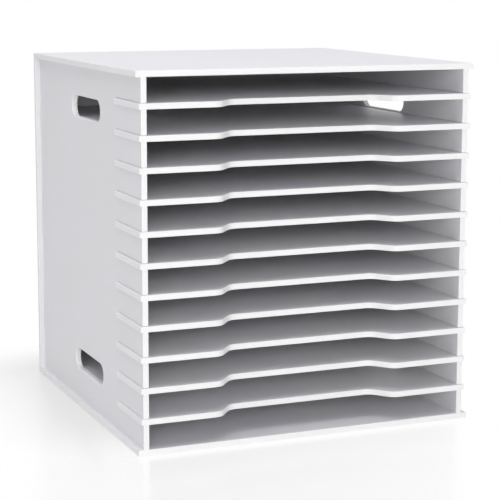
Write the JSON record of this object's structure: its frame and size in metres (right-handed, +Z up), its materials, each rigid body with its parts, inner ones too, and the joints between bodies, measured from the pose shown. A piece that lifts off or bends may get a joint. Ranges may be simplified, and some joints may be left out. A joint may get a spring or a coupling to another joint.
{
  "type": "paper organizer",
  "caption": "Open-fronted board cabinet with flat slots for square sheets: loose shelves with finger recesses slide out through side notches, and hand holes lift the case.",
  "frame": {"origin": "on the floor under the middle of the case: the centre of the bottom face of its box", "axes": "+Z up, the open front faces -Y, +X to the right of someone who looks into the open front"},
  "size_m": [0.3326, 0.331, 0.341],
  "materials": {
    "case_board": "white foamed board, fine satin skin, plain cut edges",
    "shelf_board": "white foamed board, fine satin skin, plain cut edges"
  },
  "bodies": {
    "case": {"bottom_panel": "case_board", "top_panel": "case_board", "left_side_panel": "case_board", "right_side_panel": "case_board", "back_panel": "case_board"},
    "shelf_01": {"shelf_01": "shelf_board"},
    "shelf_02": {"shelf_02": "shelf_board"},
    "shelf_03": {"shelf_03": "shelf_board"},
    "shelf_04": {"shelf_04": "shelf_board"},
    "shelf_05": {"shelf_05": "shelf_board"},
    "shelf_06": {"shelf_06": "shelf_board"},
    "shelf_07": {"shelf_07": "shelf_board"},
    "shelf_08": {"shelf_08": "shelf_board"},
    "shelf_09": {"shelf_09": "shelf_board"},
    "shelf_10": {"shelf_10": "shelf_board"},
    "shelf_11": {"shelf_11": "shelf_board"}
  },
  "joints": [
    {"name": "shelf_01_slide", "type": "slide", "parent": "case", "child": "shelf_01", "axis": [0, -1, 0], "range_m": [0, 0.34]},
    {"name": "shelf_02_slide", "type": "slide", "parent": "case", "child": "shelf_02", "axis": [0, -1, 0], "range_m": [0, 0.34]},
    {"name": "shelf_03_slide", "type": "slide", "parent": "case", "child": "shelf_03", "axis": [0, -1, 0], "range_m": [0, 0.34]},
    {"name": "shelf_04_slide", "type": "slide", "parent": "case", "child": "shelf_04", "axis": [0, -1, 0], "range_m": [0, 0.34]},
    {"name": "shelf_05_slide", "type": "slide", "parent": "case", "child": "shelf_05", "axis": [0, -1, 0], "range_m": [0, 0.34]},
    {"name": "shelf_06_slide", "type": "slide", "parent": "case", "child": "shelf_06", "axis": [0, -1, 0], "range_m": [0, 0.34]},
    {"name": "shelf_07_slide", "type": "slide", "parent": "case", "child": "shelf_07", "axis": [0, -1, 0], "range_m": [0, 0.34]},
    {"name": "shelf_08_slide", "type": "slide", "parent": "case", "child": "shelf_08", "axis": [0, -1, 0], "range_m": [0, 0.34]},
    {"name": "shelf_09_slide", "type": "slide", "parent": "case", "child": "shelf_09", "axis": [0, -1, 0], "range_m": [0, 0.34]},
    {"name": "shelf_10_slide", "type": "slide", "parent": "case", "child": "shelf_10", "axis": [0, -1, 0], "range_m": [0, 0.34]},
    {"name": "shelf_11_slide", "type": "slide", "parent": "case", "child": "shelf_11", "axis": [0, -1, 0], "range_m": [0, 0.34]}
  ]
}
